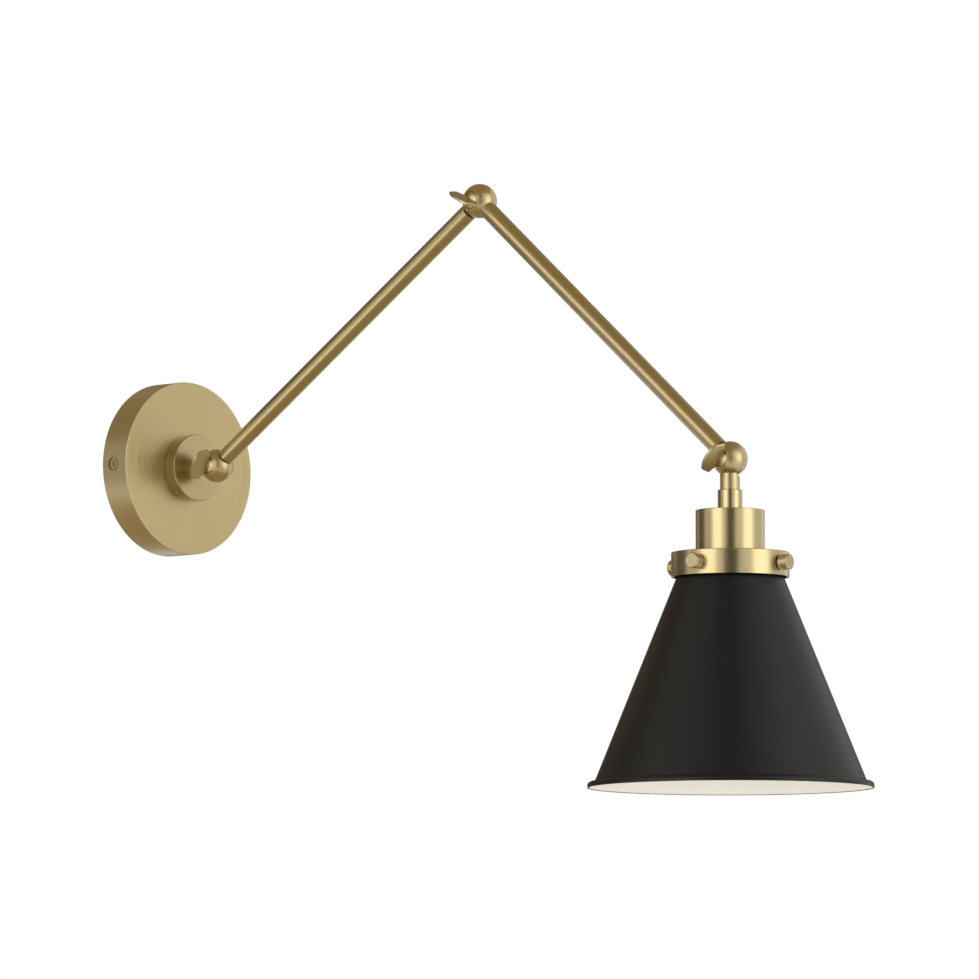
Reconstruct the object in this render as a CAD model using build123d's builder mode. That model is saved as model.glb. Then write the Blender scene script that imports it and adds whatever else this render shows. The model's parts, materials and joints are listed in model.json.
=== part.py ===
from build123d import *
import os
from math import cos, radians, sin, sqrt

# Articulating wall lamp: a round backplate and hub, two straight arms on split-ball knuckles,
# and a cone shade under a socket cup. Millimetres, +Z up, -Y out from the wall, +X to the right
# of someone facing the wall. The origin is the centre of the backplate on the wall plane.

# ---------------------------------------------------------------- driving dimensions

# Backplate
plate_diameter = 130.0
plate_depth = 25.0
plate_rim_wall = 3.0
plate_face_wall = 2.5
plate_edge_round = 0.4

# Mounting bracket on the wall box
bracket_thickness = 2.0
bracket_width = 26.0
bracket_tab_width = 12.0
bracket_tab_height = 18.0
box_screw_spacing = 79.4
box_slot_length = 25.0
box_slot_width = 4.8
wire_hole_diameter = 16.0
ground_screw_offset = 18.0
bracket_corner = 6.0
bracket_clearance = 0.5

# Machine screws: one size for the cover screws and the ground screw
screw_diameter = 4.0
cover_screw_head_diameter = 8.6
cover_screw_head_height = 1.4
cover_screw_recess_diameter = 10.6
cover_screw_recess_depth = 2.0
cover_screw_from_wall = 11.3
cover_screw_length = 9.0
cross_slot_width = 1.0
cross_slot_length = 4.6
cross_slot_depth = 0.9
ground_screw_head_diameter = 7.8
ground_screw_head_height = 2.6
screw_edge_break = 0.5

# Hub that turns on the backplate
hub_diameter = 50.2
hub_thickness = 10.2
turned_edge_break = 0.5
hub_neck_length = 20.0
slip_washer_diameter = 39.8
slip_washer_recess = 0.8

# Hollow threaded nipples and their nuts
nipple_diameter = 9.8
nipple_bore = 6.4
nut_across_flats = 16.0
nut_thickness = 4.0
nipple_past_nut = 3.4
nipple_end_gap = 0.85
tooth_washer_diameter = 19.0
tooth_washer_thickness = 1.0
tooth_count = 12
tooth_notch_depth = 2.2

# Split-ball knuckles
ball_diameter = 25.0
knuckle_seam = 0.3
knuckle_gap = 1.5
cavity_radius = 6.6
cavity_half_depth = 5.0
washer_outer_diameter = 17.6
washer_inner_diameter = 14.0
washer_thickness = 1.2
washer_recess_depth = 1.0
wireway_diameter = 5.6
spigot_length = 16.0
stem_overlap = 1.15

# Thumb keys
key_shank_diameter = 5.0
key_shank_reach = 9.0
key_tap_depth = 10.0
key_collar_diameter = 10.8
key_collar_crown = 1.3
key_collar_above_ball = 0.45
key_counterbore_diameter = 11.6
key_counterbore_floor = 9.0
key_countersink_diameter = 13.8
key_countersink_depth = 0.7
key_blade_half_span = 12.2
key_blade_root_half = 5.6
key_blade_root_in_crown = 0.5
key_blade_width = 15.2
key_blade_shoulder = 4.4
key_blade_end_width = 7.4
key_blade_end_taper = 1.7
key_blade_thickness = 2.2
key_blade_edge = 0.45
base_key_turn = 120.0
elbow_key_turn = 29.0
shade_key_turn = 130.0

# Arms
tube_diameter = 12.7
tube_wall = 1.0
flex_diameter = 5.0
lower_arm_length = 326.5
lower_arm_rise = 32.5
upper_arm_length = 320.0
upper_arm_drop = 39.8

# Stem under the third ball
neck_diameter = 14.0
neck_drop = 21.8
neck_thread_length = 7.0
collar_diameter = 17.4
collar_length = 14.4

# Socket cup, fitter ring and its thumbscrews
cup_diameter = 48.6
cup_height = 30.0
cup_wall = 1.2
cup_top_wall = 1.5
ring_diameter = 83.2
ring_height = 17.3
ring_wall = 1.6
ring_top_wall = 2.0
ring_edge_break = 0.4
thumbscrew_count = 4
thumbscrew_first_angle = 9.6
thumbscrew_head_diameter = 11.0
thumbscrew_head_length = 8.1
thumbscrew_shank_diameter = 4.0
thumbscrew_drop_in_ring = 8.6
thumbscrew_edge_break = 0.6

# Lampholder
holder_diameter = 38.6
holder_top_diameter = 26.0
holder_shoulder = 5.0
holder_height = 51.0
holder_cap_wall = 8.0
holder_floor = 6.0
holder_chamber_diameter = 30.0
holder_nut_gap = 4.6
shell_bore = 26.4
shell_wall = 0.7
shell_depth = 26.0
contact_diameter = 10.0
contact_height = 1.6
holder_ring_height = 5.0
holder_ring_diameter = 48.0
terminal_screw_diameter = 3.0
terminal_head_diameter = 5.4
terminal_head_height = 1.8
terminal_screw_depth = 3.5
terminal_drop = 9.0

# Shade
shade_rim_diameter = 201.4
shade_flange_width = 5.1
shade_sheet = 1.0
shade_neck_clearance = 3.0
shade_lip_reach = 1.9
shade_lip_height = 2.0
shade_cone_start = 15.3
shade_cone_height = 145.7
shade_rim_roll = 2.8
shade_rim_skirt = 1.6

# Clearances
thread_gap = 0.05
running_gap = 0.08
hub_gap = 0.15
face_gap = 0.1
press_gap = 0.25
collar_gap = 0.2

# ---------------------------------------------------------------- places and planes

plate_radius = plate_diameter / 2
ball_radius = ball_diameter / 2
tube_radius = tube_diameter / 2
nipple_radius = nipple_diameter / 2
screw_radius = screw_diameter / 2

hub_back = -(plate_depth + hub_gap)
hub_front = hub_back - hub_thickness
base_y = hub_front - hub_neck_length
rise = radians(lower_arm_rise)
drop = radians(upper_arm_drop)
lower_arm_way = Vector(0, -cos(rise), sin(rise))
upper_arm_way = Vector(0, -cos(drop), -sin(drop))

base_ball = Vector(0, base_y, 0)
elbow_ball = base_ball + lower_arm_way * lower_arm_length
shade_ball = elbow_ball + upper_arm_way * upper_arm_length

# A knuckle plane has its origin at the ball, its X along the hinge and its Z along the stem.
hinge_way = (1, 0, 0)
base_neck_plane = Plane(origin=base_ball, x_dir=hinge_way, z_dir=(0, 1, 0))
lower_arm_plane = Plane(origin=base_ball, x_dir=hinge_way, z_dir=lower_arm_way)
elbow_lower_plane = Plane(origin=elbow_ball, x_dir=hinge_way, z_dir=-lower_arm_way)
upper_arm_plane = Plane(origin=elbow_ball, x_dir=hinge_way, z_dir=upper_arm_way)
shade_upper_plane = Plane(origin=shade_ball, x_dir=hinge_way, z_dir=-upper_arm_way)
shade_neck_plane = Plane(origin=shade_ball, x_dir=hinge_way, z_dir=(0, 0, -1))

# Section planes for turned pieces: X is the radius, Y runs along the turning axis.
head_section = Plane(origin=shade_ball, x_dir=(1, 0, 0), z_dir=(0, -1, 0))
head_axis = Axis(shade_ball, (0, 0, 1))
wall_section = Plane.XY
wall_axis = Axis.Y

# Heights below the third ball, down the shade head
collar_bottom = -(neck_drop + collar_length)
cup_bottom = collar_bottom - cup_height
ring_top = cup_bottom
ring_bottom = ring_top - ring_height
thumbscrew_z = ring_top - thumbscrew_drop_in_ring

# Radii of the shade, from the ring that it hangs in and from its own rim
shade_neck_radius = ring_diameter / 2 - ring_wall - shade_neck_clearance
shade_lip_radius = shade_neck_radius + shade_lip_reach
shade_rim_radius = shade_rim_diameter / 2
shade_mouth_radius = shade_rim_radius - shade_flange_width

os.makedirs("parts", exist_ok=True)


# ---------------------------------------------------------------- wall plate and bracket

# Backplate: a deep cup, open to the wall, with a sunk screw seat in each side.
plate_inner_radius = plate_radius - plate_rim_wall
seat_floor = plate_radius - cover_screw_recess_depth
with BuildPart() as backplate:
    with BuildSketch(wall_section):
        Polygon(
            (nipple_radius + running_gap, -plate_depth),
            (plate_radius, -plate_depth),
            (plate_radius, 0),
            (plate_inner_radius, 0),
            (plate_inner_radius, plate_face_wall - plate_depth),
            (nipple_radius + running_gap, plate_face_wall - plate_depth),
            align=None,
        )
    revolve(axis=wall_axis)
    front_edges = backplate.edges().filter_by(GeomType.CIRCLE).group_by(Axis.Y)[0]
    fillet(front_edges.sort_by(SortBy.RADIUS)[-1], plate_edge_round)
    for side in (-1, 1):
        with BuildSketch(Plane(origin=(side * seat_floor, -cover_screw_from_wall, 0), z_dir=(side, 0, 0))):
            Circle(cover_screw_recess_diameter / 2)
        extrude(amount=cover_screw_recess_depth + plate_edge_round, mode=Mode.SUBTRACT)
        with BuildSketch(Plane(origin=(side * seat_floor, -cover_screw_from_wall, 0), z_dir=(-side, 0, 0))):
            Circle(screw_radius + face_gap)
        extrude(amount=plate_rim_wall, mode=Mode.SUBTRACT)
backplate.part.label = "backplate"
export_step(backplate.part, "parts/backplate.step")

# Mounting bracket: a flat steel bar on the wall box, its ends bent out to take the cover screws.
tab_face = sqrt(plate_inner_radius**2 - (bracket_tab_width / 2) ** 2) - bracket_clearance
with BuildPart() as mounting_bracket:
    with BuildSketch(Plane.XZ):
        RectangleRounded(2 * tab_face, bracket_width, bracket_corner)
        with Locations((-box_screw_spacing / 2, 0), (box_screw_spacing / 2, 0)):
            SlotOverall(box_slot_length, box_slot_width, mode=Mode.SUBTRACT)
        Circle(wire_hole_diameter / 2, mode=Mode.SUBTRACT)
        with Locations((ground_screw_offset, 0)):
            Circle(screw_radius + thread_gap, mode=Mode.SUBTRACT)
    extrude(amount=bracket_thickness)
    for side in (-1, 1):
        with BuildSketch(Plane(origin=(side * tab_face, 0, 0), x_dir=(0, -1, 0), z_dir=(-side, 0, 0))):
            with Locations((bracket_tab_height / 2, 0)):
                Rectangle(bracket_tab_height, bracket_tab_width)
            with Locations((cover_screw_from_wall, 0)):
                Circle(screw_radius + thread_gap, mode=Mode.SUBTRACT)
        extrude(amount=bracket_thickness)
mounting_bracket.part.label = "mounting_bracket"
export_step(mounting_bracket.part, "parts/mounting_bracket.step")

# Cover screws: cross-recess screws through the backplate's sides into the bracket's tabs.
with BuildPart() as cover_screws:
    for side in (-1, 1):
        seat = Vector(side * seat_floor, -cover_screw_from_wall, 0)
        with BuildSketch(Plane(origin=seat, z_dir=(side, 0, 0))):
            Circle(cover_screw_head_diameter / 2)
        extrude(amount=cover_screw_head_height)
        with BuildSketch(Plane(origin=seat, z_dir=(-side, 0, 0))):
            Circle(screw_radius)
        extrude(amount=cover_screw_length)
        head_top = seat + Vector(side * cover_screw_head_height, 0, 0)
        with BuildSketch(Plane(origin=head_top, z_dir=(-side, 0, 0))):
            Rectangle(cross_slot_length, cross_slot_width)
            Rectangle(cross_slot_width, cross_slot_length)
        extrude(amount=cross_slot_depth, mode=Mode.SUBTRACT)
cover_screws.part.label = "cover_screws"
export_step(cover_screws.part, "parts/cover_screws.step")

# Ground screw: a pan-head screw in the bracket for the earth lead.
with BuildPart() as ground_screw:
    with BuildSketch(Plane(origin=(ground_screw_offset, -bracket_thickness, 0), z_dir=(0, -1, 0))):
        Circle(ground_screw_head_diameter / 2)
    extrude(amount=ground_screw_head_height)
    chamfer(ground_screw.edges().group_by(Axis.Y)[0], screw_edge_break)
    with BuildSketch(Plane(origin=(ground_screw_offset, -bracket_thickness, 0), z_dir=(0, 1, 0))):
        Circle(screw_radius)
    extrude(amount=bracket_thickness - running_gap)
    ground_head_y = -(bracket_thickness + ground_screw_head_height)
    with BuildSketch(Plane(origin=(ground_screw_offset, ground_head_y, 0), z_dir=(0, 1, 0))):
        Rectangle(cross_slot_length, cross_slot_width)
        Rectangle(cross_slot_width, cross_slot_length)
    extrude(amount=cross_slot_depth, mode=Mode.SUBTRACT)
ground_screw.part.label = "ground_screw"
export_step(ground_screw.part, "parts/ground_screw.step")

# ---------------------------------------------------------------- hub

# Hub disc: turned brass, with a recess behind it for the slip washer.
with BuildPart() as hub_disc:
    with BuildSketch(wall_section):
        Polygon(
            (nipple_radius + thread_gap, hub_front),
            (hub_diameter / 2 - turned_edge_break, hub_front),
            (hub_diameter / 2, hub_front + turned_edge_break),
            (hub_diameter / 2, hub_back),
            (slip_washer_diameter / 2 + face_gap, hub_back),
            (slip_washer_diameter / 2 + face_gap, hub_back - slip_washer_recess),
            (nipple_radius + thread_gap, hub_back - slip_washer_recess),
            align=None,
        )
    revolve(axis=wall_axis)
hub_disc.part.label = "hub_disc"
export_step(hub_disc.part, "parts/hub_disc.step")

# Slip washer: a thin nylon ring that lets the hub turn on the plate without scoring it.
with BuildPart() as slip_washer:
    with BuildSketch(Plane.XZ.offset(-(hub_back - slip_washer_recess))):
        Circle(slip_washer_diameter / 2)
        Circle(nipple_radius + face_gap, mode=Mode.SUBTRACT)
    extrude(amount=-(slip_washer_recess + hub_gap - face_gap))
slip_washer.part.label = "slip_washer"
export_step(slip_washer.part, "parts/slip_washer.step")

# Tooth washer and lock nut: they hold the hub's nipple from inside the plate.
washer_back = plate_face_wall - plate_depth + face_gap
with BuildPart() as tooth_washer:
    with BuildSketch(Plane.XZ.offset(-washer_back)):
        Circle(tooth_washer_diameter / 2)
        Circle(nipple_radius + face_gap, mode=Mode.SUBTRACT)
        with PolarLocations(tooth_washer_diameter / 2, tooth_count):
            Rectangle(2 * tooth_notch_depth, tooth_notch_depth, mode=Mode.SUBTRACT)
    extrude(amount=-tooth_washer_thickness)
tooth_washer.part.label = "tooth_washer"
export_step(tooth_washer.part, "parts/tooth_washer.step")

nut_front = washer_back + tooth_washer_thickness
with BuildPart() as hub_lock_nut:
    with BuildSketch(Plane.XZ.offset(-nut_front)):
        RegularPolygon(nut_across_flats / 2, 6, major_radius=False)
        Circle(nipple_radius + thread_gap, mode=Mode.SUBTRACT)
    extrude(amount=-nut_thickness)
hub_lock_nut.part.label = "hub_lock_nut"
export_step(hub_lock_nut.part, "parts/hub_lock_nut.step")

# Hub nipple: a hollow threaded tube that ties nut, plate, hub and knuckle neck together.
nipple_back = nut_front + nut_thickness + nipple_past_nut
nipple_front = base_y + ball_radius + nipple_end_gap
with BuildPart() as hub_nipple:
    with BuildSketch(Plane.XZ.offset(-nipple_back)):
        Circle(nipple_radius)
        Circle(nipple_bore / 2, mode=Mode.SUBTRACT)
    extrude(amount=nipple_back - nipple_front)
hub_nipple.part.label = "hub_nipple"
export_step(hub_nipple.part, "parts/hub_nipple.step")

# ---------------------------------------------------------------- split-ball knuckles

half_seam = knuckle_seam / 2
stem_root = sqrt(ball_radius**2 - (neck_diameter / 2) ** 2) - stem_overlap


def ball_at(x):
    """Radius of the ball's surface at a distance x from the seam plane."""
    return sqrt(ball_radius**2 - x**2)


def ball_arc(start_x, end_x):
    """Three points on the ball's section between two distances from its centre."""
    middle_x = (start_x + end_x) / 2
    return [(x, ball_at(x)) for x in (start_x, middle_x, end_x)]


def knuckle_section(centre, side):
    """Section plane whose X runs along the hinge, away from the seam on the given side."""
    return Plane(origin=centre, x_dir=(side, 0, 0), z_dir=(0, 1, 0))


def knuckle_stem(stem_plane, side, radius, length):
    """A stem centred on the seam, cut back from the other half of the ball by the knuckle gap."""
    with BuildPart() as stem:
        with BuildSketch(stem_plane.offset(stem_root)):
            Circle(radius)
        extrude(amount=length - stem_root)
        with BuildSketch(knuckle_section(stem_plane.origin, -side)):
            Circle(ball_radius + knuckle_gap)
            with Locations((-half_seam, 0)):
                Rectangle(
                    2 * ball_diameter,
                    2 * ball_diameter,
                    align=(Align.MAX, Align.CENTER),
                    mode=Mode.SUBTRACT,
                )
            Rectangle(2 * ball_diameter, ball_diameter, align=(Align.CENTER, Align.MAX), mode=Mode.SUBTRACT)
        revolve(axis=Axis(stem_plane.origin, hinge_way), mode=Mode.SUBTRACT)
    return stem.part


def inner_half(centre, stem_plane, stems):
    """The half that carries the key: countersunk counterbore outside, wire cavity inside."""
    rim_x = ball_at(key_countersink_diameter / 2)
    hole = key_shank_diameter / 2 + running_gap
    with BuildPart() as half:
        with BuildSketch(knuckle_section(centre, -1)):
            with BuildLine():
                ThreePointArc(*ball_arc(half_seam, rim_x))
                Polyline(
                    (rim_x, key_countersink_diameter / 2),
                    (rim_x - key_countersink_depth, key_counterbore_diameter / 2),
                    (key_counterbore_floor, key_counterbore_diameter / 2),
                    (key_counterbore_floor, hole),
                    (cavity_half_depth, hole),
                    (cavity_half_depth, cavity_radius),
                    (half_seam, cavity_radius),
                    (half_seam, ball_at(half_seam)),
                )
            make_face()
        revolve(axis=Axis(centre, hinge_way))
        for stem in stems:
            add(stem)
        with BuildSketch(stem_plane):
            Circle(wireway_diameter / 2)
        extrude(amount=ball_radius + spigot_length, mode=Mode.SUBTRACT)
    return half


def outer_half(centre, stem_plane, stems):
    """The half that the key is threaded into: washer recess inside, solid boss for the thread."""
    tap = key_shank_diameter / 2 + thread_gap
    recess = washer_outer_diameter / 2 + face_gap
    with BuildPart() as half:
        with BuildSketch(knuckle_section(centre, 1)):
            with BuildLine():
                ThreePointArc(*ball_arc(half_seam, ball_radius))
                Polyline(
                    (ball_radius, 0),
                    (key_tap_depth, 0),
                    (key_tap_depth, tap),
                    (cavity_half_depth, tap),
                    (cavity_half_depth, cavity_radius),
                    (half_seam + washer_recess_depth, cavity_radius),
                    (half_seam + washer_recess_depth, recess),
                    (half_seam, recess),
                    (half_seam, ball_at(half_seam)),
                )
            make_face()
        revolve(axis=Axis(centre, hinge_way))
        for stem in stems:
            add(stem)
        with BuildSketch(stem_plane):
            Circle(wireway_diameter / 2)
        extrude(amount=ball_radius + spigot_length, mode=Mode.SUBTRACT)
    return half


# Spigots fit inside the tubes; the base neck is as wide as a tube; the shade neck is a little wider.
spigot_radius = tube_radius - tube_wall - thread_gap
spigot_end = ball_radius + spigot_length

# Base knuckle: its inner half stands on the hub, its outer half is the foot of the lower arm.
base_stem = knuckle_stem(base_neck_plane, -1, tube_radius, hub_neck_length)
with BuildPart() as base_knuckle_inner:
    add(inner_half(base_ball, base_neck_plane, [base_stem]).part)
    with BuildSketch(base_neck_plane.offset(hub_neck_length)):
        Circle(nipple_radius + thread_gap)
    extrude(amount=-(hub_neck_length - ball_radius - nipple_end_gap + thread_gap), mode=Mode.SUBTRACT)
base_knuckle_inner.part.label = "base_knuckle_inner"
export_step(base_knuckle_inner.part, "parts/base_knuckle_inner.step")

base_spigot = knuckle_stem(lower_arm_plane, 1, spigot_radius, spigot_end)
base_knuckle_outer = outer_half(base_ball, lower_arm_plane, [base_spigot])
base_knuckle_outer.part.label = "base_knuckle_outer"
export_step(base_knuckle_outer.part, "parts/base_knuckle_outer.step")

# Elbow: the outer half ends the lower arm, the inner half starts the upper arm.
elbow_lower_spigot = knuckle_stem(elbow_lower_plane, 1, spigot_radius, spigot_end)
elbow_knuckle_outer = outer_half(elbow_ball, elbow_lower_plane, [elbow_lower_spigot])
elbow_knuckle_outer.part.label = "elbow_knuckle_outer"
export_step(elbow_knuckle_outer.part, "parts/elbow_knuckle_outer.step")

elbow_upper_spigot = knuckle_stem(upper_arm_plane, -1, spigot_radius, spigot_end)
elbow_knuckle_inner = inner_half(elbow_ball, upper_arm_plane, [elbow_upper_spigot])
elbow_knuckle_inner.part.label = "elbow_knuckle_inner"
export_step(elbow_knuckle_inner.part, "parts/elbow_knuckle_inner.step")

# Shade knuckle: the outer half ends the upper arm, the inner half carries the neck and its thread.
shade_spigot = knuckle_stem(shade_upper_plane, 1, spigot_radius, spigot_end)
shade_knuckle_outer = outer_half(shade_ball, shade_upper_plane, [shade_spigot])
shade_knuckle_outer.part.label = "shade_knuckle_outer"
export_step(shade_knuckle_outer.part, "parts/shade_knuckle_outer.step")

shade_neck = knuckle_stem(shade_neck_plane, -1, neck_diameter / 2, neck_drop)
shade_thread = knuckle_stem(shade_neck_plane, -1, nipple_radius, neck_drop + neck_thread_length)
shade_knuckle_inner = inner_half(shade_ball, shade_neck_plane, [shade_neck, shade_thread])
shade_knuckle_inner.part.label = "shade_knuckle_inner"
export_step(shade_knuckle_inner.part, "parts/shade_knuckle_inner.step")

# Friction washers: fibre rings that lie in the outer halves and rub on the inner halves.
for washer_name, centre in (("base", base_ball), ("elbow", elbow_ball), ("shade", shade_ball)):
    with BuildPart() as friction_washer:
        with BuildSketch(Plane(origin=centre, z_dir=hinge_way).offset(half_seam + washer_recess_depth)):
            Circle(washer_outer_diameter / 2)
            Circle(washer_inner_diameter / 2, mode=Mode.SUBTRACT)
        extrude(amount=-washer_thickness)
    friction_washer.part.label = f"{washer_name}_friction_washer"
    export_step(friction_washer.part, f"parts/{washer_name}_friction_washer.step")

# Thumb keys: a flat blade on a crowned collar, whose threaded shank draws the two halves together.
collar_radius = key_collar_diameter / 2
collar_face = key_counterbore_floor + face_gap
crown_top = ball_at(key_countersink_diameter / 2) + key_collar_above_ball
crown_edge = crown_top - key_collar_crown
crown_radius = (collar_radius**2 + key_collar_crown**2) / (2 * key_collar_crown)
crown_middle = crown_top - crown_radius + sqrt(crown_radius**2 - (collar_radius / 2) ** 2)
blade_root = crown_top - key_blade_root_in_crown
blade_tip = blade_root + key_blade_width
shoulder = blade_root + key_blade_shoulder
end_x = shoulder + key_blade_end_width
end_half = key_blade_half_span - key_blade_end_taper
for key_name, centre, turn in (
    ("base", base_ball, base_key_turn),
    ("elbow", elbow_ball, elbow_key_turn),
    ("shade", shade_ball, shade_key_turn),
):
    span_way = Vector(0, cos(radians(turn)), sin(radians(turn)))
    blade_plane = Plane(origin=centre, x_dir=(-1, 0, 0), z_dir=Vector(-1, 0, 0).cross(span_way))
    with BuildPart() as thumb_key:
        with BuildSketch(knuckle_section(centre, -1)):
            with BuildLine():
                Polyline(
                    (crown_top, 0),
                    (-key_shank_reach, 0),
                    (-key_shank_reach, key_shank_diameter / 2),
                    (collar_face, key_shank_diameter / 2),
                    (collar_face, collar_radius),
                    (crown_edge, collar_radius),
                )
                ThreePointArc((crown_edge, collar_radius), (crown_middle, collar_radius / 2), (crown_top, 0))
            make_face()
        revolve(axis=Axis(centre, hinge_way))
        with BuildSketch(blade_plane.offset(-key_blade_thickness / 2)):
            with BuildLine():
                Polyline(
                    (end_x, -end_half),
                    (shoulder, -key_blade_half_span),
                    (blade_root, -key_blade_root_half),
                    (blade_root, key_blade_root_half),
                    (shoulder, key_blade_half_span),
                    (end_x, end_half),
                )
                ThreePointArc((end_x, end_half), (blade_tip, 0), (end_x, -end_half))
            make_face()
        extrude(amount=key_blade_thickness)
        blade_edges = thumb_key.faces().filter_by(Axis(centre, blade_plane.z_dir)).edges()
        chamfer(blade_edges.filter_by_position(Axis.X, -blade_tip, -shoulder), key_blade_edge)
    thumb_key.part.label = f"{key_name}_key"
    export_step(thumb_key.part, f"parts/{key_name}_key.step")

# ---------------------------------------------------------------- arms


def arm_tube(start_plane, length, start_side):
    """A brass tube coped to the balls at its ends: close to its own half, clear of the other."""
    with BuildPart() as tube:
        with BuildSketch(start_plane):
            Circle(tube_radius)
            Circle(tube_radius - tube_wall, mode=Mode.SUBTRACT)
        extrude(amount=length)
        for centre, own_side in (
            (start_plane.origin, start_side),
            (start_plane.origin + start_plane.z_dir * length, 1),
        ):
            with BuildSketch(knuckle_section(centre, own_side)):
                with BuildLine():
                    CenterArc((0, 0), ball_radius, 0, 90)
                    Line((0, ball_radius), (0, 0))
                    Line((0, 0), (ball_radius, 0))
                make_face()
            revolve(axis=Axis(centre, hinge_way), mode=Mode.SUBTRACT)
            with BuildSketch(knuckle_section(centre, -own_side)):
                with BuildLine():
                    CenterArc((0, 0), ball_radius + knuckle_gap, 0, 90)
                    Line((0, ball_radius + knuckle_gap), (0, 0))
                    Line((0, 0), (ball_radius + knuckle_gap, 0))
                make_face()
            revolve(axis=Axis(centre, hinge_way), mode=Mode.SUBTRACT)
    return tube


def arm_flex(start_plane, length):
    """Round two-core flex along the tube, held in the bores of the spigots at both ends."""
    flex_start = ball_radius + knuckle_gap
    with BuildPart() as flex:
        with BuildSketch(start_plane.offset(flex_start)):
            Circle(flex_diameter / 2)
        extrude(amount=length - 2 * flex_start)
    return flex


# Lower arm: its tube belongs to the outer halves at both ends.
lower_arm_tube = arm_tube(lower_arm_plane, lower_arm_length, 1)
lower_arm_tube.part.label = "lower_arm_tube"
export_step(lower_arm_tube.part, "parts/lower_arm_tube.step")

lower_arm_flex = arm_flex(lower_arm_plane, lower_arm_length)
lower_arm_flex.part.label = "lower_arm_flex"
export_step(lower_arm_flex.part, "parts/lower_arm_flex.step")

# Upper arm: it starts on the elbow's inner half and ends on the shade knuckle's outer half.
upper_arm_tube = arm_tube(upper_arm_plane, upper_arm_length, -1)
upper_arm_tube.part.label = "upper_arm_tube"
export_step(upper_arm_tube.part, "parts/upper_arm_tube.step")

upper_arm_flex = arm_flex(upper_arm_plane, upper_arm_length)
upper_arm_flex.part.label = "upper_arm_flex"
export_step(upper_arm_flex.part, "parts/upper_arm_flex.step")

# ---------------------------------------------------------------- stem, cup and fitter ring

# Stem collar: a turned sleeve, threaded on the neck from above and on the cup's nipple from below.
with BuildPart() as stem_collar:
    with BuildSketch(head_section):
        Polygon(
            (nipple_radius + thread_gap, -neck_drop),
            (collar_diameter / 2, -neck_drop),
            (collar_diameter / 2, collar_bottom),
            (nipple_radius + thread_gap, collar_bottom),
            align=None,
        )
    revolve(axis=head_axis)
    chamfer(stem_collar.edges().group_by(Axis.Z)[-1].sort_by(SortBy.RADIUS)[-1], turned_edge_break)
stem_collar.part.label = "stem_collar"
export_step(stem_collar.part, "parts/stem_collar.step")

# Socket cup: a deep-drawn brass cup, bottom open over the fitter ring.
with BuildPart() as socket_cup:
    with BuildSketch(head_section):
        Polygon(
            (nipple_radius + thread_gap, collar_bottom),
            (cup_diameter / 2, collar_bottom),
            (cup_diameter / 2, cup_bottom),
            (cup_diameter / 2 - cup_wall, cup_bottom),
            (cup_diameter / 2 - cup_wall, collar_bottom - cup_top_wall),
            (nipple_radius + thread_gap, collar_bottom - cup_top_wall),
            align=None,
        )
    revolve(axis=head_axis)
    fillet(socket_cup.edges().group_by(Axis.Z)[-1].sort_by(SortBy.RADIUS)[-1], turned_edge_break)
socket_cup.part.label = "socket_cup"
export_step(socket_cup.part, "parts/socket_cup.step")

# Cup nipple and nut: they hang the cup and the lampholder from the stem collar.
cup_nut_top = collar_bottom - cup_top_wall
holder_top = collar_bottom - cup_top_wall - nut_thickness - holder_nut_gap
cup_nipple_top = -(neck_drop + neck_thread_length) - face_gap
cup_nipple_bottom = holder_top - holder_cap_wall
with BuildPart() as cup_nipple:
    with BuildSketch(Plane(origin=shade_ball).offset(cup_nipple_bottom)):
        Circle(nipple_radius)
        Circle(nipple_bore / 2, mode=Mode.SUBTRACT)
    extrude(amount=cup_nipple_top - cup_nipple_bottom)
cup_nipple.part.label = "cup_nipple"
export_step(cup_nipple.part, "parts/cup_nipple.step")

with BuildPart() as cup_lock_nut:
    with BuildSketch(Plane(origin=shade_ball).offset(cup_nut_top - nut_thickness)):
        RegularPolygon(nut_across_flats / 2, 6, major_radius=False)
        Circle(nipple_radius + thread_gap, mode=Mode.SUBTRACT)
    extrude(amount=nut_thickness)
cup_lock_nut.part.label = "cup_lock_nut"
export_step(cup_lock_nut.part, "parts/cup_lock_nut.step")

# Fitter ring: a spun brass gallery under the cup, drilled for the four thumbscrews.
thumbscrew_planes = [
    Plane(
        origin=shade_ball + Vector(0, 0, thumbscrew_z),
        z_dir=(sin(radians(angle)), -cos(radians(angle)), 0),
    )
    for angle in (thumbscrew_first_angle + i * 360 / thumbscrew_count for i in range(thumbscrew_count))
]
holder_radius = holder_diameter / 2
ring_hole_radius = holder_radius + press_gap
with BuildPart() as fitter_ring:
    with BuildSketch(head_section):
        Polygon(
            (ring_hole_radius, ring_top),
            (ring_diameter / 2 - ring_edge_break, ring_top),
            (ring_diameter / 2, ring_top - ring_edge_break),
            (ring_diameter / 2, ring_bottom),
            (ring_diameter / 2 - ring_wall, ring_bottom),
            (ring_diameter / 2 - ring_wall, ring_top - ring_top_wall),
            (ring_hole_radius, ring_top - ring_top_wall),
            align=None,
        )
    revolve(axis=head_axis)
    for plane in thumbscrew_planes:
        with BuildSketch(plane.offset(ring_hole_radius)):
            Circle(thumbscrew_shank_diameter / 2 + running_gap)
        extrude(amount=ring_diameter / 2, mode=Mode.SUBTRACT)
fitter_ring.part.label = "fitter_ring"
export_step(fitter_ring.part, "parts/fitter_ring.step")

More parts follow.
